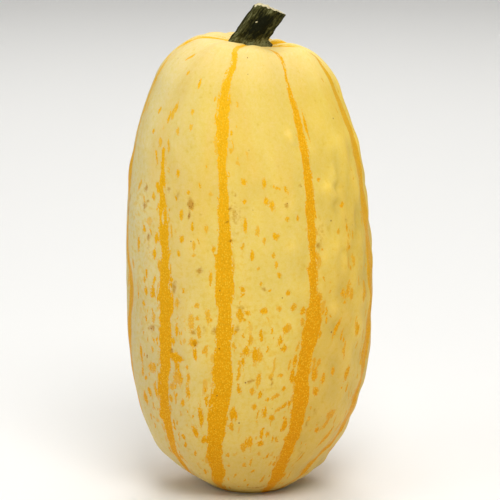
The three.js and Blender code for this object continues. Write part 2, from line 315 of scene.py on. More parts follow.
ROOT_RINGS = (0, 0.35, 0.7)  # shares of the radius: the rings that close the root
CORE_SINK = 0.1  # mm that the middle of the cut lies below the last ring of CUT_FACE
CUT_PITCH = 3.4  # degrees that the cut end faces to the back
# How far the foot stands out: (degrees round the stem, mm)
FOOT_FLARE = (
    (-180, 1), (-130, 1), (-95, 0.4), (-70, 0.8), (-42, -0.8), (-15, 0.6), (15, 1.6), (40, 0.6),
    (65, 2.2), (90, 3.4), (130, 2.6), (180, 1),
)
# How much of that there is: (share along the stem, share of the flare)
FOOT_RISE = ((0, 1), (0.12, 1), (0.32, 0))
# How far the cut's rim stands up or down: (degrees round the stem, mm)
RIM_LIFT = (
    (-180, 0.2), (-130, 0.2), (-100, -1.6), (-80, -2.2), (-45, -0.3), (20, 0.4), (60, 0),
    (95, -0.4), (140, 0), (180, 0.2),
)
# The cut face, from its rim to its middle: (share of the rim's radius, mm below the rim)
CUT_FACE = (
    (0.985, -0.05), (0.93, 0), (0.86, 0.05), (0.76, 0.15), (0.64, 0.35), (0.5, 0.8), (0.34, 1.1),
    (0.18, 1.3),
)
# Where the skin has dried, or is still fresh: (degrees round the stem, share along it, reach in degrees,
# reach in share, how much)
DRYING = (
    (-75, 0.25, 40, 0.2, 0.5),
    (-62, 0.75, 24, 0.5, 0.6),
    (10, 0.22, 60, 0.13, 0.75),
    (60, 0.2, 40, 0.2, 0.6),
    (48, 0.7, 22, 0.4, 0.3),
    (-8, 0.6, 28, 0.24, -0.7),
    (20, 0.62, 16, 0.3, -0.3),
    (2, 0.95, 14, 0.07, 1.2),
    (-60, 1, 40, 0.06, 0.5),
)
# The same, for nicks that show the pale flesh
NICKS = ((-21, 0.67, 3.4, 0.016, 1.3), (-18, 0.68, 3.4, 0.012, 1.1))
DRYNESS = 0.25  # of the skin elsewhere
STEM_RINGS = 90
STEM_COLUMNS = 180

# The stage, in metres

CAMERA_TARGET = (-0.45 * MM, 0, 126.8 * MM)
FLOOR_MIDDLE = 0.5  # radius of the paper's first ring
FLOOR_REACH = 3.4
FLOOR_WALL = 1.8  # height of the low wall at its edge
FLOOR_SWEEP = 1.2  # radius of the bend between them
BEND_STEPS = 12
FLOOR_COLUMNS = 96
# Softboxes that face the fruit: (name, degrees round from the front, degrees up, distance in m, side in
# m, watts)
LAMPS = (
    ("key", 13, 51, 2, 1, 23),
    ("left", -65, 35, 2, 1, 4.4),
    ("top", 0, 88, 2, 1.2, 14),
    ("back", 180, 45, 2.2, 1, 16),
)


def linear(hex_colour):
    """An sRGB hex colour as linear red, green and blue."""
    parts = [int(hex_colour[i : i + 2], 16) / 255 for i in (1, 3, 5)]
    return [c / 12.92 if c <= 0.04045 else ((c + 0.055) / 1.055) ** 2.4 for c in parts]


def smoothstep(share):
    """0 up to a share of 0, 1 from a share of 1 on, and eased between them."""
    share = np.clip(share, 0, 1)
    return share * share * (3 - 2 * share)


def bell(across, along):
    """1 in the middle of a spot, and next to nothing at twice its reach."""
    return np.exp(-(across**2) - along**2)


def through(stops, place):
    """The value at each place of a smooth line through (place, value) stops."""
    places, values = np.array(stops, float).T
    place = np.asarray(place, float)
    start = np.clip(np.searchsorted(places, place, side="right") - 1, 0, len(places) - 2)
    share = (place - places[start]) / (places[start + 1] - places[start])
    return values[start] + (values[start + 1] - values[start]) * smoothstep(share)


# Shape


def spline(points, steps):
    """A curve through the points, with the given number of steps between two of them."""
    points = np.array(points, float)
    ends = np.vstack([points[:1], points, points[-1:]])
    share = np.linspace(0, 1, steps, endpoint=False)[:, None]
    spans = []
    for before, start, end, after in zip(ends, ends[1:], ends[2:], ends[3:]):
        leaving, arriving = (end - before) / 2, (after - start) / 2
        cubic = 2 * start - 2 * end + leaving + arriving
        square = 3 * end - 3 * start - 2 * leaving - arriving
        spans.append(((cubic * share + square) * share + leaving) * share + start)
    return np.vstack([*spans, points[-1:]])


def evenly(points, count):
    """The same line with its points evenly spaced."""
    lengths = np.hypot(*np.diff(points, axis=0).T)
    along = np.concatenate([[0], np.cumsum(lengths)])
    wanted = np.linspace(0, along[-1], count)
    return np.stack([np.interp(wanted, along, column) for column in points.T], 1)


def spun(name, profile, columns):
    """A body of revolution about Z, from an outline of (radius, height) that starts on the axis, and for
    each of its vertices the ring and the column that it is in."""
    shape = bmesh.new()
    ring_of = shape.verts.layers.int.new("ring")
    chain = []
    for ring, (radius, height) in enumerate(profile):
        vertex = shape.verts.new((0, -radius, height))
        vertex[ring_of] = ring
        chain.append(vertex)
    edges = [shape.edges.new(pair) for pair in zip(chain, chain[1:])]
    bmesh.ops.spin(
        shape,
        geom=chain + edges,
        axis=(0, 0, 1),
        cent=(0, 0, 0),
        angle=2 * math.pi,
        steps=columns,
        use_merge=True,
    )
    bmesh.ops.remove_doubles(shape, verts=shape.verts, dist=MERGE_WITHIN)
    bmesh.ops.recalc_face_normals(shape, faces=shape.faces)
    for face in shape.faces:
        face.smooth = True
    rings = np.array([vertex[ring_of] for vertex in shape.verts])
    turns = np.array([math.atan2(vertex.co.x, -vertex.co.y) for vertex in shape.verts])
    mesh = bpy.data.meshes.new(name)
    shape.to_mesh(mesh)
    shape.free()
    return mesh, rings, np.rint(turns / (2 * math.pi) * columns).astype(int) % columns


def set_points(mesh, places):
    mesh.vertices.foreach_set("co", places.ravel())
    mesh.update()


def note(mesh, name, values):
    """Keeps a number or a vector for each vertex, for the material to read."""
    kind, field = ("FLOAT", "value") if values.ndim == 1 else ("FLOAT_VECTOR", "vector")
    mesh.attributes.new(name, kind, "POINT").data.foreach_set(field, values.astype(np.float32).ravel())


def rough(places, size, seed):
    """Smooth noise, mostly within -0.5 to 0.5, whose lumps are of that size."""
    shift = Vector((seed * 17.3, seed * 5.1, seed * 11.7))
    return np.array([noise.noise(Vector(place) / size + shift) for place in places])


def add_piece(mesh, material, node):
    """Puts a finished mesh in the scene in place of a CAD node."""
    piece = bpy.data.objects.new(mesh.name, mesh)
    bpy.context.scene.collection.objects.link(piece)
    mesh.materials.append(material)
    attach(piece, "root")
    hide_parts(node)
    return piece


# Materials


def add_node(tree, kind, inputs=(), **settings):
    """Adds a node with its settings. Inputs go by name, or else in the order of the sockets in use. Each is
    a value or what feeds it: a socket, or a node, which stands for the first of its outputs in use."""
    made = tree.nodes.new("ShaderNode" + kind)
    for name, value in settings.items():
        setattr(made, name, value)
    sockets = [socket for socket in made.inputs if socket.enabled]
    if isinstance(inputs, dict):
        named = {socket.name: socket for socket in sockets}
        sockets, inputs = [named[name] for name in inputs], inputs.values()
    for socket, value in zip(sockets, inputs):
        if isinstance(value, bpy.types.Node):
            value = next(output for output in value.outputs if output.enabled)
        if isinstance(value, bpy.types.NodeSocket):
            tree.links.new(value, socket)
        elif socket.type == "RGBA":
            socket.default_value = (*value, 1)
        else:
            socket.default_value = value
    return made


def new_material(name, **values):
    """A material with one Principled shader, whose sockets have these values."""
    material = bpy.data.materials.new(name)
    material.use_nodes = True
    tree = material.node_tree
    tree.nodes.clear()
    values = {socket.replace("_", " "): value for socket, value in values.items()}
    shader = add_node(tree, "BsdfPrincipled", values)
    add_node(tree, "OutputMaterial", [shader])
    return material, tree, shader


def shaken(node, value, lumps, amount):
    """The value, moved up and down by that much of a noise."""
    swing = node("Math", [lumps, 0.5], operation="SUBTRACT")
    return node("Math", [swing, amount, value], operation="MULTIPLY_ADD")


EASED = {"interpolation_type": "SMOOTHSTEP"}
COLOUR = {"data_type": "RGBA"}
TINT = {"data_type": "RGBA", "blend_type": "MULTIPLY"}


def rind_patterns(node):
    """What the rind's colours are worked out from: its notes and its noises. A noise is named for its
    lumps, whose size is given in millimetres. Tall noise is drawn out to four times its width."""
    skin = SimpleNamespace()
    place = node("Attribute", attribute_name="place").outputs["Vector"]
    spots = node("Attribute", attribute_name="spots").outputs["Vector"]
    tone = node("Attribute", attribute_name="tone").outputs["Vector"]
    skin.up, skin.side, skin.bump = node("SeparateXYZ", [tone]).outputs
    skin.bruise, skin.crowd, skin.marks = node("SeparateXYZ", [spots]).outputs
    skin.edge = node("Attribute", attribute_name="stripe_edge").outputs["Fac"]
    skin.spread = node("UVMap", uv_map="rind_map").outputs[0]
    skin.bends = node("TexNoise", {"Vector": place, "Scale": 1 / 6, "Detail": 2})
    skin.blots = node("TexNoise", {"Vector": place, "Scale": 1 / 2.4, "Detail": 3})
    skin.crumbs = node("TexNoise", {"Vector": place, "Scale": 1 / 0.9, "Detail": 3, "Roughness": 0.6})
    skin.freckles = node("MapRange", [skin.blots, 0.5, 0.64], **EASED)
    tall = node("VectorMath", [place, (1, 1, 0.25)], operation="MULTIPLY")
    skin.splinters = node("TexNoise", {"Vector": tall, "Scale": 1 / 1.7, "Detail": 3, "Roughness": 0.6})
    skin.wander = node("TexNoise", {"Vector": tall, "Scale": 1 / 8, "Detail": 2})
    skin.patches = node("TexNoise", {"Vector": tall, "Scale": 1 / 16, "Detail": 2})
    return skin


# Linear tints of the rind's finest mottling, which is more a change of yellowness than of brightness
GRAIN_PALE = (1.01, 1.02, 1.17)
GRAIN_DEEP = (0.99, 0.98, 0.83)
SUNNED_STRIPE = (0.96, 0.88, 0.88)  # and of the stripes on the side that faced the sun
# A painted highlight: the ground's tint on the upper shoulder over that side
SHOULDER_HIGHLIGHT = (1.12, 1.15, 1.15)  # and of the ground on the shoulder over that side


def ground_colour(node, look, skin):
    """Pale yellow, greyer on the left side with partly painted sheen and richer on the other, with painted
    shade that browns the bottom and darkens the lower right, and painted light on the crown, in part, and
    on the upper right shoulder.
    """
    middle = node("MapRange", [skin.side, -1.05, -0.2], **EASED)
    far = node("MapRange", [skin.side, 0.1, 1], **EASED)

    # Clouds: cream ones on the shade side, yolk-coloured ones all round, and small ones among the flecks
    pale = node("MapRange", [skin.wander, 0.45, 0.72, 0, 0.35], **EASED)
    paler = node("MapRange", [skin.side, 0.5, -0.8, 0.15, 1], **EASED)
    pale = node("Math", [pale, paler], operation="MULTIPLY")
    warm = node("MapRange", [skin.patches, 0.42, 0.68, 0, 0.4], **EASED)
    mottle = node("MapRange", [skin.crowd, -0.3, 1.1, 0, 0.7])
    mottle = node("Math", [mottle, skin.freckles], operation="MULTIPLY")

    # Painted shade at the bottom, a paler top that is partly painted light, painted shade low on the right,
    # and low on both sides dull rind that is partly dust and partly painted shade and sheen
    low = node("MapRange", [skin.up, 0.45, 0, 0, 0.8], **EASED)
    high = node("MapRange", [skin.up, 0.9, 1, 0, 0.65], **EASED)
    # Painted shade low on the right: the tan mask darkens the rind there
    tan = node("MapRange", [skin.side, 0.3, 0.65], **EASED)
    right_shade_low = node("MapRange", [skin.up, 0.62, 0.35, 0, 0.6], **EASED)
    tan = node("Math", [tan, right_shade_low], operation="MULTIPLY")
    right_shade_end = node("MapRange", [skin.side, 0.95, 0.75, 0.3, 1], **EASED)
    tan = node("Math", [tan, right_shade_end], operation="MULTIPLY")
    # Low on both sides the rind is duller and greyer: partly dust, partly painted shade and sheen
    flank = node("MapRange", [skin.side, -0.25, -0.75], **EASED)
    other_flank = node("MapRange", [skin.side, 0.6, 0.95, 0, 0.3])
    flank = node("Math", [flank, other_flank], operation="ADD")
    flank_low = node("MapRange", [skin.up, 0.65, 0.25, 0, 0.75], **EASED)
    flank = node("Math", [flank, flank_low], operation="MULTIPLY")

    # It starts from the left side's colour, which is partly painted sheen
    ground = look.pale_side_and_sheen
    for share, colour in (
        (middle, look.middle),
        (far, look.sun_side),
        (pale, look.cream),
        (warm, look.warm_cloud),
        (mottle, look.warm_cloud),
        (low, look.painted_bottom_shade),
        (high, look.crown),
        (tan, look.painted_low_right_shade),
        (flank, look.dust_and_sheen),
    ):
        ground = node("Mix", [share, ground, colour], **COLOUR)

    # Painted light on the bumps and painted shade in the dents, a painted highlight on the upper shoulder
    # on the sunny side, and all of it is grainy
    shaded = node("MapRange", [skin.bump, -0.9, 1.3, 0.87, 1.1])
    ground = node("Mix", [1, ground, shaded], **TINT)
    # Painted highlight on the upper shoulder of the right side
    lit_shoulder = node("MapRange", [skin.side, 0.58, 0.88], **EASED)
    shoulder = node("MapRange", [skin.up, 0.6, 0.82], **EASED)
    lit_shoulder = node("Math", [lit_shoulder, shoulder], operation="MULTIPLY")
    ground = node("Mix", [lit_shoulder, ground, SHOULDER_HIGHLIGHT], **TINT)
    strength = node("MapRange", [skin.up, 0.95, 0.6, 1, 1.1])
    for lumps in (skin.crumbs, skin.blots):
        grain = node("Mix", [node("MapRange", [lumps, 0.3, 0.7]), GRAIN_PALE, GRAIN_DEEP], **COLOUR)
        ground = node("Mix", [strength, ground, grain], **TINT)
    return ground


def stripe_mask(node, skin):
    """1 on the stripes: the distance in from a stripe's edge, with noise that leaves the edge torn."""
    inside = shaken(node, skin.edge, skin.wander, 4)
    inside = shaken(node, inside, skin.splinters, 5.5)
    inside = shaken(node, inside, skin.crumbs, 3)
    return node("MapRange", [inside, -0.25, 0.3], **EASED)


def stripe_colour(node, look, skin):
    """Orange that deepens towards the blossom end, grainy, with a fine web of paler pores."""
    high = node("MapRange", [skin.up, 0.1, 0.9])
    orange = node("Mix", [high, look.stripe_low, look.stripe_high], **COLOUR)
    orange = node("Mix", [1, orange, node("MapRange", [skin.crumbs, 0.35, 0.65, 0.9, 1.06])], **TINT)
    sunned = node("MapRange", [skin.side, 0.2, 0.5], **EASED)
    sunned_end = node("MapRange", [skin.side, 0.95, 0.75], **EASED)
    sunned = node("Math", [sunned, sunned_end], operation="MULTIPLY")
    orange = node("Mix", [sunned, orange, SUNNED_STRIPE], **TINT)
    rows = node("VectorMath", [skin.spread, (1, 1 / 1.4, 0)], operation="MULTIPLY")
    pores = node("TexVoronoi", {"Vector": rows, "Scale": 1, "Randomness": 0.85}, voronoi_dimensions="2D")
    luck = node("SeparateXYZ", [pores.outputs["Color"]]).outputs[0]
    pore = node("MapRange", [pores, 0.42, 0.14], **EASED)
    pore = node("Math", [pore, node("MapRange", [luck, 0, 1, 0, 0.75])], operation="MULTIPLY")
    return node("Mix", [pore, orange, look.stripe_dots], **COLOUR)


def fleck_mask(node, skin):
    """1 on the short orange flecks. They lie in cells of several sizes, in millimetres, each with a fleck
    of its own size and strength or none, and there are more of them where they crowd."""
    crowd = node("MapRange", [skin.edge, -7, -1, 0, 0.5], **EASED)
    crowd = node("Math", [crowd, skin.crowd], operation="ADD")
    crowd = shaken(node, crowd, skin.patches, 4)

    # The cells are bent by a few millimetres, so that the flecks come out ragged
    bent = skin.spread
    bends = ((skin.bends, (4, 5, 0)), (skin.blots, (2.2, 3.4, 0)), (skin.crumbs, (2.4, 2.4, 0)))
    for lumps, bend in bends:
        bent = node("VectorMath", [lumps.outputs["Color"], bend, bent], operation="MULTIPLY_ADD")
    flecks = 0
    for width, length, share, smallest, largest in FLECKS:
        cell = node("VectorMath", [bent, (1 / width, 1 / length, 0)], operation="MULTIPLY")
        cells = node("TexVoronoi", {"Vector": cell, "Scale": 1}, voronoi_dimensions="2D")
        luck, size, strength = node("SeparateXYZ", [cells.outputs["Color"]]).outputs
        chance = node("Math", [crowd, share], operation="MULTIPLY")
        chance = node("Math", [chance, luck], operation="SUBTRACT")
        reach = node("MapRange", [size, 0, 1, smallest, largest])
        reach = node("Math", [reach, node("MapRange", [chance, 0, 0.08])], operation="MULTIPLY")
        fleck = node("Math", [reach, cells], operation="SUBTRACT")
        fleck = node("MapRange", [fleck, -0.015, 0.05], **EASED)
        strength = node("MapRange", [strength, 0, 0.6, 0.45, 1])
        fleck = node("Math", [fleck, strength], operation="MULTIPLY")
        flecks = node("Math", [flecks, fleck], operation="MAXIMUM")

    # The placed flecks, with edges torn by the same noises
    placed = shaken(node, skin.marks, skin.crumbs, 1.6)
    placed = shaken(node, placed, skin.splinters, 1.6)
    placed = node("MapRange", [placed, -0.2, 0.25], **EASED)
    faded = node("MapRange", [skin.wander, 0.35, 0.5, 0.75, 1])
    placed = node("Math", [placed, faded], operation="MULTIPLY")
    return node("Math", [flecks, placed], operation="MAXIMUM")


def rind_material(look):
    """Ripe winter squash rind: hard, smooth and waxy, so it has a broad soft gloss over a pale yellow that
    is never even. Orange stripes with torn edges lie in the grooves, and short flecks between them."""
    material, tree, shader = new_material(
        "waxy_squash_rind",
        IOR=1.42,
        Specular_IOR_Level=0.04,
        Subsurface_Weight=0.05,
        Subsurface_Scale=0.002,
        Subsurface_Radius=(1, 0.5, 0.15),
    )
    node = partial(add_node, tree)
    skin = rind_patterns(node)
    orange = stripe_colour(node, look, skin)
    colour = node("Mix", [fleck_mask(node, skin), ground_colour(node, look, skin), orange], **COLOUR)
    colour = node("Mix", [stripe_mask(node, skin), colour, orange], **COLOUR)

    # Bruises are soft olive clouds with brown specks in them. Pinpricks lie anywhere.
    cloud = shaken(node, skin.bruise, skin.blots, 1.4)
    cloud = node("MapRange", [cloud, 0.15, 0.8, 0, 0.68], **EASED)
    specks = node("Math", [skin.bruise, 0.2, skin.crumbs], operation="MULTIPLY_ADD")
    specks = node("MapRange", [specks, 0.72, 0.78, 0, 0.75], **EASED)
    bruised = node("MapRange", [skin.bruise, 0.25, 0.5])
    specks = node("Math", [specks, bruised], operation="MULTIPLY")
    pins = node("TexVoronoi", {"Vector": skin.spread, "Scale": 1 / 16}, voronoi_dimensions="2D")
    pin_luck = node("SeparateXYZ", [pins.outputs["Color"]]).outputs[0]
    pin = node("MapRange", [pin_luck, 0.3, 0, -0.01, 0.03])
    pin = node("Math", [pin, pins], operation="SUBTRACT")
    pin = node("MapRange", [pin, -0.015, 0.015, 0, 0.8], **EASED)
    dark = node("Math", [specks, pin], operation="MAXIMUM")
    colour = node("Mix", [cloud, colour, look.bruise], **COLOUR)
    colour = node("Mix", [dark, colour, look.pinprick], **COLOUR)

    tree.links.new(colour.outputs["Result"], shader.inputs["Base Color"])
    gloss = node("MapRange", [skin.bends, 0.3, 0.7, 0.4, 0.55])
    tree.links.new(gloss.outputs[0], shader.inputs["Roughness"])
    skin_bump = node("Bump", {"Height": skin.crumbs, "Distance": 0.00012, "Strength": 0.5})
    tree.links.new(skin_bump.outputs[0], shader.inputs["Normal"])
    return material


def grow_rind(look):
    """The fruit's mesh: an outline spun about the axis, then moved point by point into its grown form."""
    rim = np.array(OUTLINE) * (look.belly_radius, look.crown_height)
    outline = evenly(spline(rim, OUTLINE_STEPS), FRUIT_RINGS)
    outline[-1, 0] = 0
    flat = np.linspace(0, rim[0, 0], FLAT_RINGS, endpoint=False)
    profile = np.vstack([np.stack([flat, 0 * flat], 1), outline])
    mesh, rings, columns = spun("rind", profile, len(GROOVES) * RIB_COLUMNS)

    tangent = np.gradient(profile, axis=0)
    tangent /= np.hypot(*tangent.T)[:, None]
    arc = np.concatenate([[0], np.cumsum(np.hypot(*np.diff(profile, axis=0).T))]) / MM
    radius, height = profile[rings].T
    out, rise = tangent[rings, 1], -tangent[rings, 0]
    share = height / look.crown_height

    # Turn each column to its place between the two grooves that bound its rib
    rib, across = columns // RIB_COLUMNS, columns % RIB_COLUMNS / RIB_COLUMNS
    lines = np.array([through(line, share) for line in GROOVES])
    lines = np.vstack([lines, lines[:1] + 360])
    half_way = np.array([through(line, 0.5) for line in GROOVES])
    half_way = np.append(half_way, half_way[0] + 360)
    each = np.arange(len(rib))
    left, right = lines[rib, each], lines[rib + 1, each]
    azimuth = np.radians(left + (right - left) * across)
    turned = np.stack([np.sin(azimuth), -np.cos(azimuth)], 1)

    def grown(lift):
        """Every point of the rind, lifted that far along the surface's own normal, in metres."""
        x, y = (turned * (radius + lift * out)[:, None]).T
        z = height + lift * rise
        x = x + through(SWAY, share) * MM
        tilt = math.tan(look.crown_tilt) * smoothstep((share - CROWN_FROM) / (1 - CROWN_FROM))
        return np.stack([x, y, z - x * tilt], 1)

    valley = np.abs(np.cos(math.pi * across)) ** GROOVE_SHARPNESS
    lift = -through(GROOVE_DEPTH, share) * valley * smoothstep(radius / rim[0, 0])
    plain = grown(lift * MM)

    def reach_from(degrees, level):
        """How far each point is from the place on the rind at that azimuth and height: across, and up along
        the rind, in mm."""
        place = np.argmin((np.degrees(azimuth) - degrees) ** 2 + (plain[:, 2] / MM - level) ** 2)
        apart = plain - plain[place]
        sideways = np.array([math.cos(azimuth[place]), math.sin(azimuth[place]), 0])
        across_mm = apart @ sideways / MM
        along_mm = np.sqrt(np.maximum((apart**2).sum(1) / MM**2 - across_mm**2, 0))
        return across_mm, np.copysign(along_mm, apart[:, 2])

    # The rind's bumps and dents: more of them on the side that faced the sun, and few near the crown
    bumpy = LEAST_BUMPY + smoothstep(np.sin(azimuth))
    bumpy *= 1 - CALMED * smoothstep((share - CALM_FROM) / CALM_OVER)
    drawn = plain * (1, 1, DRAWN_SQUEEZE)
    broad = BROAD_LIFT * rough(plain, BROAD_SIZE, 1)
    small = SMALL_LIFT * rough(plain, SMALL_SIZE, 2) + DRAWN_LIFT * rough(drawn, DRAWN_SIZE, 6)
    small *= bumpy
    for degrees, level, reach, height_mm in LUMPS:
        wide, tall = reach_from(degrees, level)
        lump = height_mm * bell(wide / reach, tall / LUMP_STRETCH / reach)
        if reach > LEAST_BROAD:
            broad += lump
        else:
            small += lump
    lift += smoothstep(share / EVEN_BELOW) * (broad + small)
    lift -= SCAR_DEPTH * np.exp(-((radius / MM / SCAR_REACH) ** 4)) * (height == 0)
    set_points(mesh, grown(lift * MM))

    # How strong the bruises are, how much the random flecks crowd, and where the placed flecks are
    bruises = np.zeros(len(mesh.vertices))
    for degrees, level, wide_reach, tall_reach, strength in BRUISES:
        wide, tall = reach_from(degrees, level)
        bruises = np.maximum(bruises, strength * bell(wide / wide_reach, tall / tall_reach))
    crowd = through(FLECKING, share)
    for degrees, level, wide_reach, tall_reach, more in CROWDS:
        wide, tall = reach_from(degrees, level)
        crowd += more * bell(wide / wide_reach, tall / tall_reach)
    marks = np.full(len(mesh.vertices), -1.0)
    for degrees, level, half_width, half_height, lean in MARKS:
        wide, tall = reach_from(degrees, level)
        wide = wide - lean * tall
        marks = np.maximum(marks, 1 - np.hypot(wide / half_width, tall / half_height))
        cleared = bell(wide / (half_width + CLEARING[0]), tall / (half_height + CLEARING[1]))
        crowd -= CLEARED * cleared

    # How far inside a stripe each point is, in mm, less than 0 between the stripes
    widths = np.array([through(line, share) for line in STRIPES])
    widths = np.vstack([widths, widths[:1]])
    stray = np.array([through(STRAY.get(groove, NO_STRAY), share) for groove in range(len(GROOVES))])
    stray = np.vstack([stray, stray[:1]])
    span = np.radians(right - left) * radius / MM
    from_left = np.abs(across * span - stray[rib, each])
    from_right = np.abs((1 - across) * span + stray[rib + 1, each])
    edge = np.maximum(widths[rib, each] - from_left, widths[rib + 1, each] - from_right)

    for degrees, level, half_width, half_height in SLITS:
        wide, tall = reach_from(degrees, level)
        edge -= SLIT_DEPTH * bell(wide / half_width, (tall / half_height) ** 2)

    # Coordinates for the patterns, in millimetres: on a barrel of the belly's girth, and unrolled from
    # the seam on
    laid = half_way[rib] + (half_way[rib + 1] - half_way[rib]) * across
    girth = look.belly_radius / MM
    laid_turn = np.radians(laid)
    place = np.stack([girth * np.sin(laid_turn), -girth * np.cos(laid_turn), arc[rings]], 1)
    note(mesh, "place", place)
    note(mesh, "stripe_edge", edge)
    # tone: share of the height, side, and the small lumps' lift, which the material turns into painted
    # light and shade
    note(mesh, "tone", np.stack([share, np.sin(laid_turn), small], 1))
    note(mesh, "spots", np.stack([bruises, crowd, marks], 1))
    corners = np.array([loop.vertex_index for loop in mesh.loops])
    faces = np.array([(face.loop_start, face.loop_total) for face in mesh.polygons])
    unrolled = np.where(rib >= SEAM, laid - 360, laid)[corners]
    furthest = np.repeat(np.maximum.reduceat(unrolled, faces[:, 0]), faces[:, 1])
    unrolled[furthest - unrolled > 180] += 360
    rind_map = np.stack([np.radians(unrolled) * girth, arc[rings][corners]], 1)
    mesh.uv_layers.new(name="rind_map").uv.foreach_set("vector", rind_map.astype(np.float32).ravel())
    return mesh


class FruitLook(PropertyGroup):
    crown_height: FloatProperty(
        name="Crown height",
        description="From the flat spot to the crest around the stem",
        default=(FRUIT_HIGH.z - FRUIT_LOW.z) * CREST_SHARE,
        unit="LENGTH",
    )
    belly_radius: FloatProperty(
        name="Belly radius",
        description="At the widest place, over the ribs",
        default=(FRUIT_HIGH.y - FRUIT_LOW.y) / 2 * BELLY_SHARE,
        unit="LENGTH",
    )
    crown_tilt: FloatProperty(
        name="Crown tilt",
        description="How much the crown slopes down to the right",
        default=math.radians(6.1),
        subtype="ANGLE",
    )


def colour_property(name, hex_colour, description):
    colour = linear(hex_colour)
    return FloatVectorProperty(
        name=name, description=description, default=colour, subtype="COLOR", min=0, max=1
    )


class RindLook(PropertyGroup):
    # Partly painted sheen: the paler, greyer rind on the left side
    pale_side_and_sheen: colour_property("Shade side", "#E8D697", "Rind on the side that lay in shade")
    middle: colour_property("Middle", "#ECCE69", "Rind between the two sides")
    sun_side: colour_property("Sun side", "#EAC85A", "Rind on the side that faced the sun")
    cream: colour_property("Cream", "#E6D8A4", "Pale clouds on the shade side")
    # Painted shade: the darker rind low on the right
    painted_low_right_shade: colour_property("Tan side", "#D9B04C", "Rind low on the side that faced the sun")
    # Partly painted light: the paler rind around the stem
    crown: colour_property("Crown", "#F4D98C", "Pale rind around the stem")
    # Partly dust, partly painted shade and sheen: the duller, greyer rind low on both sides
    dust_and_sheen: colour_property("Dusty flanks", "#D9C589", "Dull rind low on both sides")
    # Painted shade: the browner rind near the blossom end
    painted_bottom_shade: colour_property("Earth side", "#DCBB66", "Rind near the blossom end")
    warm_cloud: colour_property("Warm clouds", "#EDC14C", "Faint yolk-coloured clouds")
    stripe_high: colour_property("Stripe, crown", "#F1B51A", "Stripes near the stem")
    stripe_low: colour_property("Stripe, base", "#E09803", "Stripes near the blossom end")
    stripe_dots: colour_property("Stripe dots", "#F6CC3A", "Pale pores in the stripes")
    bruise: colour_property("Bruise", "#BC7E14", "Rubbed and healed spots")
    pinprick: colour_property("Pinprick", "#8A4016", "Dark pinpricks")


class SQUASH_OT_rind(Operator):
    """Grows the fruit: a ribbed barrel with its rind"""

    bl_idname = "squash.rind"
    bl_label = "Grow Fruit"

    def execute(self, context):
        mesh = grow_rind(context.scene.squash_fruit)
        add_piece(mesh, rind_material(context.scene.squash_rind), "fruit")
        return {"FINISHED"}


# Stem


def skin_material(look):
    """Dry squash stalk: a hard fibrous skin, near black-green where it is still fresh and grey-green where
    it has dried, with fine lengthwise fibres that catch the light along the ridges."""
    material, tree, shader = new_material("dry_stalk_skin", IOR=1.45, Specular_IOR_Level=0.06)
    node = partial(add_node, tree)
    grain = node("Attribute", attribute_name="grain").outputs["Vector"]
    mark = node("Attribute", attribute_name="mark").outputs["Vector"]
    dryness, nicks, _ = node("SeparateXYZ", [mark]).outputs
    drawn = node("VectorMath", [grain, (1, 1, 0.25)], operation="MULTIPLY")
    fibres = node("TexNoise", {"Vector": drawn, "Scale": 1 / 0.8, "Detail": 4, "Roughness": 0.7})
    blotches = node("TexNoise", {"Vector": grain, "Scale": 1 / 1.6, "Detail": 3, "Roughness": 0.6})
    dry = shaken(node, shaken(node, dryness, blotches, 1.6), fibres, 3.6)
    skin = node("Mix", [node("MapRange", [dry, 0, 0.6]), look.fresh_skin, look.fibre], **COLOUR)
    skin = node("Mix", [node("MapRange", [dry, 0.5, 1.6], **EASED), skin, look.dry_skin], **COLOUR)
    nicked = node("MapRange", [nicks, 0.6, 0.9, 0, 0.9], **EASED)
    skin = node("Mix", [nicked, skin, look.cut_flesh], **COLOUR)
    tree.links.new(skin.outputs["Result"], shader.inputs["Base Color"])
    tree.links.new(node("MapRange", [fibres, 0, 1, 0.55, 0.85]).outputs[0], shader.inputs["Roughness"])
    bump = node("Bump", {"Height": fibres, "Distance": 0.0004, "Strength": 0.9})
    tree.links.new(bump.outputs[0], shader.inputs["Normal"])
    return material


def cut_material(look):
    """Knife-cut stalk end: pale, open fibre under the skin, drying to tan around a brown, sunken pith."""
    material, tree, shader = new_material("cut_stalk_end", IOR=1.4, Roughness=0.85)
    node = partial(add_node, tree)
    grain = node("Attribute", attribute_name="grain").outputs["Vector"]
    mark = node("Attribute", attribute_name="mark").outputs["Vector"]
    inward = node("SeparateXYZ", [mark]).outputs[2]
    tufts = node("TexNoise", {"Vector": grain, "Scale": 1 / 0.8, "Detail": 3})
    ramp = node("ValToRGB", [node("Math", [tufts, 0.35, inward], operation="MULTIPLY_ADD")])
    stops = (
        (0.1, look.cut_skin),
        (0.2, look.cut_flesh),
        (0.5, look.cut_flesh),
        (0.62, look.pith),
        (0.9, look.pith_core),
    )
    while len(ramp.color_ramp.elements) < len(stops):
        ramp.color_ramp.elements.new(0.5)
    for element, (position, colour) in zip(ramp.color_ramp.elements, stops):
        element.position = position
        element.color = (*colour, 1)
    tree.links.new(ramp.outputs[0], shader.inputs["Base Color"])
    bump = node("Bump", {"Height": tufts, "Distance": 0.0005, "Strength": 0.9})
    tree.links.new(bump.outputs[0], shader.inputs["Normal"])
    return material


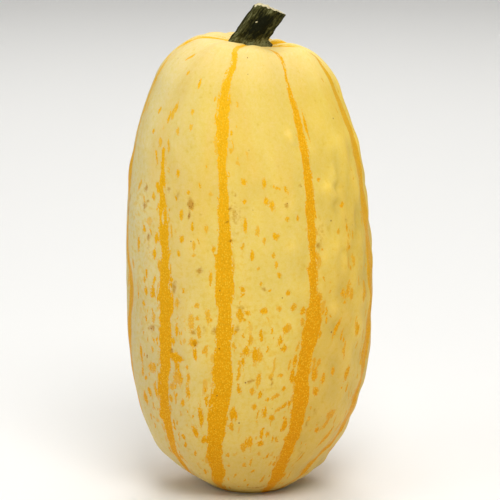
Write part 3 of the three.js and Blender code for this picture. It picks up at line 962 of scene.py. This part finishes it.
def grow_stem(look):
    """The stem's mesh, spun as a straight stalk and then ridged, slanted and cut."""
    along = np.linspace(0, 1, STEM_RINGS)
    root = np.array([(share, 0) for share in ROOT_RINGS])
    face = np.array([(share, 1) for share, _ in CUT_FACE])
    profile = np.vstack([root, np.stack([0 * along + 1, along], 1), face, [[0, 1]]])
    sinks = [sink for _, sink in CUT_FACE]
    sinks = np.array([0] * (len(root) + STEM_RINGS) + sinks + [sinks[-1] + CORE_SINK])
    mesh, rings, columns = spun("stem", profile, STEM_COLUMNS)

    degrees = columns * 360 / STEM_COLUMNS
    degrees = np.where(degrees > 180, degrees - 360, degrees)
    turn = np.radians(degrees)
    wall, share = profile[rings].T
    sink = sinks[rings]
    winding = turn + np.radians(RIDGE_START - RIDGE_DRIFT * share)
    ridge = np.cos(STEM_RIDGES * winding + RIDGE_SPREAD * np.sin(turn + RIDGE_SPREAD_AT))
    ridge = 1 - 2 * (0.5 - 0.5 * ridge) ** RIDGE_BREADTH
    stalk = np.stack([STEM_RADIUS * np.sin(turn), -STEM_RADIUS * np.cos(turn), 0 * turn], 1)
    upwards = np.stack([0 * share, 0 * share, share], 1)
    fibre = rough(stalk + upwards * FIBRE_DRAW, FIBRE_SIZE, 3)
    knots = rough(stalk + upwards * STEM_LENGTH, KNOT_SIZE, 4)
    swell = ridge * through(RIDGE_HEIGHT, share) + FIBRE_LIFT * fibre
    swell += (KNOT_LIFT + KNOT_LIFT_AT_ROOT * (1 - share) ** 2) * knots
    flare = through(FOOT_FLARE, degrees) * through(FOOT_RISE, share)
    outward = wall * (STEM_RADIUS * (1 + swell) + flare)

    # Slanted rings: the lower ones lie level, and those near the cut are tilted with it
    (root_x, root_z), (top_x, top_z) = STEM_ROOT, STEM_TOP
    slant = math.atan2(top_x - root_x, top_z - root_z)
    lean = look.cut_tilt * share
    rim = through(RIM_LIFT, degrees) * share**10 * wall
    rim += TUFT_LIFT * rough(stalk * wall[:, None], TUFT_SIZE, 5) * (share > 0.99)
    sideways = outward * np.sin(turn) / np.cos(slant - lean)
    y = -outward * np.cos(turn) * STEM_FLATNESS
    pitch = -y * math.tan(math.radians(CUT_PITCH)) * share**2
    raised = rim - sink + pitch
    x = root_x + (top_x - root_x) * share + sideways * np.cos(lean) + raised * np.sin(lean)
    z = root_z + (top_z - root_z) * share - sideways * np.sin(lean) + raised * np.cos(lean)
    set_points(mesh, np.stack([x, y, z], 1) * MM)

    def added_up(spots):
        """What the spots add up to at each point."""
        return sum(
            much * bell((degrees - middle) / reach, (share - level) / rise)
            for middle, level, reach, rise, much in spots
        )

    dryness = DRYNESS + added_up(DRYING)
    nicks = added_up(NICKS)
    depth = share * STEM_LENGTH - sink
    note(mesh, "grain", np.stack([outward * np.sin(turn), -outward * np.cos(turn), depth], 1))
    note(mesh, "mark", np.stack([dryness, nicks, 1 - wall], 1))
    last_wall_ring = len(root) + STEM_RINGS - 1
    for polygon in mesh.polygons:
        if min(rings[vertex] for vertex in polygon.vertices) >= last_wall_ring:
            polygon.material_index = 1
    return mesh


class StemLook(PropertyGroup):
    cut_tilt: FloatProperty(
        name="Cut tilt",
        description="How far the cut end faces to the right of straight up",
        default=math.radians(22),
        subtype="ANGLE",
    )
    fresh_skin: colour_property("Fresh skin", "#17180A", "Skin where the stalk is still fresh")
    fibre: colour_property("Fibres", "#3D3B1A", "Olive fibres along the stalk")
    dry_skin: colour_property("Dry skin", "#77764E", "Grey-green skin at the foot and on the ridges")
    cut_skin: colour_property("Cut skin", "#7E6C42", "Edge of the skin around the cut")
    cut_flesh: colour_property("Cut flesh", "#D6CAA0", "Pale fibre inside the skin")
    pith: colour_property("Pith", "#A98F64", "Dried ring around the middle")
    pith_core: colour_property("Pith core", "#6E5433", "Sunken middle of the cut")


class SQUASH_OT_stem(Operator):
    """Grows the stub of stem on the crown"""

    bl_idname = "squash.stem"
    bl_label = "Grow Stem"

    def execute(self, context):
        look = context.scene.squash_stem
        stem = add_piece(grow_stem(look), skin_material(look), "stem")
        stem.data.materials.append(cut_material(look))
        return {"FINISHED"}


# Stage


class StageLook(PropertyGroup):
    camera_distance: FloatProperty(
        name="Camera distance",
        description="From the camera to the point it looks at",
        default=1.5,
        unit="LENGTH",
    )
    camera_elevation: FloatProperty(
        name="Camera elevation",
        description="Angle above the horizon",
        default=math.radians(12),
        subtype="ANGLE",
    )
    lens: FloatProperty(name="Lens", description="Focal length", default=205.7, unit="CAMERA")
    sky: FloatProperty(name="Sky", description="Strength of the even light from all round", default=0.15)
    floor_colour: colour_property("Floor", "#F4F3F0", "Seamless pale paper")


class SQUASH_OT_stage(Operator):
    """Sets the floor with its curved-up wall, the lights and the camera"""

    bl_idname = "squash.stage"
    bl_label = "Set Stage"

    def execute(self, context):
        scene = context.scene
        look = scene.squash_stage
        middle = Vector((0, 0, (CAD_BOX[0].z + CAD_BOX[1].z) / 2))

        # A wide dish of paper: flat under the fruit and curved up to a low wall all round
        bend = [
            (FLOOR_REACH - FLOOR_SWEEP * (1 - math.sin(turn)), FLOOR_SWEEP * (1 - math.cos(turn)))
            for turn in np.linspace(0, math.pi / 2, BEND_STEPS + 1)
        ]
        profile = [(0, 0), (FLOOR_MIDDLE, 0), *bend, (FLOOR_REACH, FLOOR_WALL)]
        mesh, _, _ = spun("paper_floor", profile, FLOOR_COLUMNS)
        floor = bpy.data.objects.new("paper_floor", mesh)
        scene.collection.objects.link(floor)
        # Studio paper: uncoated and matt, so it takes a soft shadow and shows no reflection
        paper, _, _ = new_material("matt_paper", Base_Color=look.floor_colour, Roughness=0.9)
        mesh.materials.append(paper)

        for name, azimuth, elevation, distance, size, power in LAMPS:
            turn, rise = math.radians(azimuth), math.radians(elevation)
            level = math.cos(rise)
            back = Vector((math.sin(turn) * level, -math.cos(turn) * level, math.sin(rise)))
            lamp = bpy.data.lights.new(name, "AREA")
            lamp.size = size
            lamp.energy = power
            holder = bpy.data.objects.new(name, lamp)
            holder.location = middle + back * distance
            holder.rotation_euler = (-back).to_track_quat("-Z", "Y").to_euler()
            scene.collection.objects.link(holder)

        world = bpy.data.worlds.new("studio")
        world.use_nodes = True
        light = world.node_tree.nodes["Background"].inputs
        light["Color"].default_value = (1, 1, 1, 1)
        light["Strength"].default_value = look.sky
        scene.world = world
        scene.view_settings.view_transform = "Standard"

        camera = bpy.data.objects.new("camera", bpy.data.cameras.new("camera"))
        camera.data.lens = look.lens
        camera.data.sensor_width = 36
        camera.data.clip_start = 0.1
        back = Vector((0, -math.cos(look.camera_elevation), math.sin(look.camera_elevation)))
        camera.location = Vector(CAMERA_TARGET) + back * look.camera_distance
        camera.rotation_euler = (-back).to_track_quat("-Z", "Y").to_euler()
        scene.collection.objects.link(camera)
        scene.camera = camera
        return {"FINISHED"}


class SQUASH_PT_panel(Panel):
    """Buttons for each part of the squash, with their sizes and colours"""

    bl_label = "Spaghetti Squash"
    bl_idname = "SQUASH_PT_panel"
    bl_space_type = "VIEW_3D"
    bl_region_type = "UI"
    bl_category = "Squash"

    def draw(self, context):
        for operator, looks in PARTS:
            box = self.layout.box()
            box.operator(operator)
            for name in looks:
                look = getattr(context.scene, name)
                # Every group's first two properties are its type and its name
                for prop in look.bl_rna.properties[2:]:
                    box.prop(look, prop.identifier)


LOOKS = {
    "squash_fruit": FruitLook,
    "squash_rind": RindLook,
    "squash_stem": StemLook,
    "squash_stage": StageLook,
}
PARTS = (
    ("squash.stage", ("squash_stage",)),
    ("squash.rind", ("squash_fruit", "squash_rind")),
    ("squash.stem", ("squash_stem",)),
)
CLASSES = (*LOOKS.values(), SQUASH_OT_rind, SQUASH_OT_stem, SQUASH_OT_stage, SQUASH_PT_panel)


def register():
    for made in CLASSES:
        bpy.utils.register_class(made)
    for name, look in LOOKS.items():
        setattr(bpy.types.Scene, name, PointerProperty(type=look))


def unregister():
    for name in LOOKS:
        delattr(bpy.types.Scene, name)
    for made in reversed(CLASSES):
        bpy.utils.unregister_class(made)


def main():
    register()
    bpy.ops.squash.stage()
    bpy.ops.squash.rind()
    bpy.ops.squash.stem()


if __name__ == "__main__":
    main()
